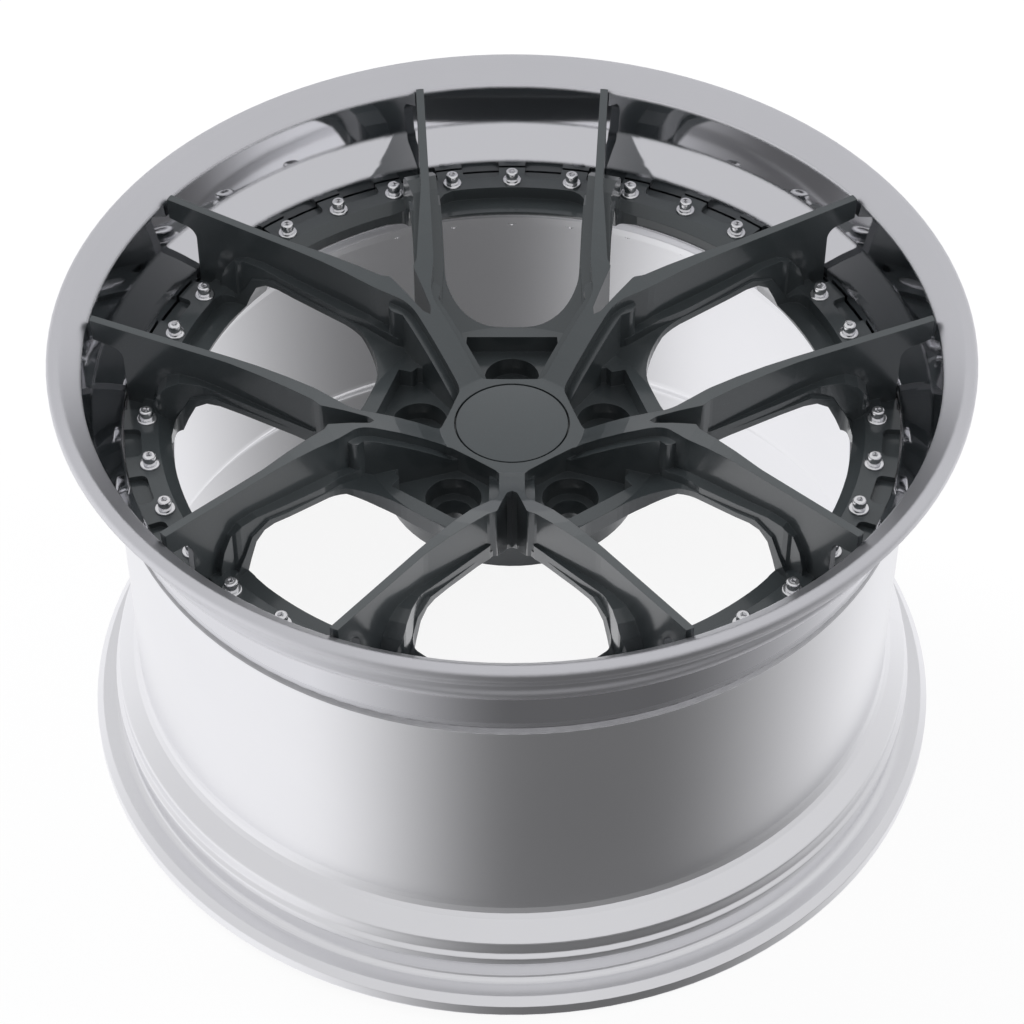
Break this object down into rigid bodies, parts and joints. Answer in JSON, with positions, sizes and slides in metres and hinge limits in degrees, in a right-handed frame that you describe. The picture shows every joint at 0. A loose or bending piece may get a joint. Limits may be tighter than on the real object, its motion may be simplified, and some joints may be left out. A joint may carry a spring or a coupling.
{
  "type": "split rim wheel",
  "caption": "Three-piece car wheel: deep stepped outer lip, dark disc with Y-shaped spokes, satin barrel, ring of small assembly bolts and plain cap, standing face up",
  "frame": {"origin": "bottom centre of the bounding box, on the wheel axis, in the plane of the rear flange the wheel stands on", "axes": "+Z is the wheel axis and points out of the face, +Y points away from the viewer of the picture through the axis of one window, -Y is the stem of one Y spoke"},
  "size_m": [0.549, 0.549, 0.3085],
  "materials": {
    "disc_paint": "gloss anthracite lacquer on forged aluminium",
    "lip_metal": "satin flange face, polished inner steps",
    "barrel_metal": "satin silver",
    "sealant": "cured sealant",
    "cap_paint": "gloss anthracite lacquer",
    "spring_wire": "drawn spring wire",
    "o_ring_rubber": "matt black rubber",
    "bolt_metal": "polished stainless steel",
    "washer_metal": "polished stainless steel",
    "nut_metal": "plain stainless steel"
  },
  "bodies": {
    "root": {"centre_disc": "disc_paint", "outer_lip": "lip_metal", "inner_barrel": "barrel_metal", "rim_seal": "sealant", "centre_cap": "cap_paint", "cap_retaining_ring": "spring_wire", "cap_o_ring": "o_ring_rubber", "assembly_bolts": "bolt_metal", "front_washers": "washer_metal", "rear_washers": "washer_metal", "assembly_nuts": "nut_metal"}
  },
  "joints": []
}
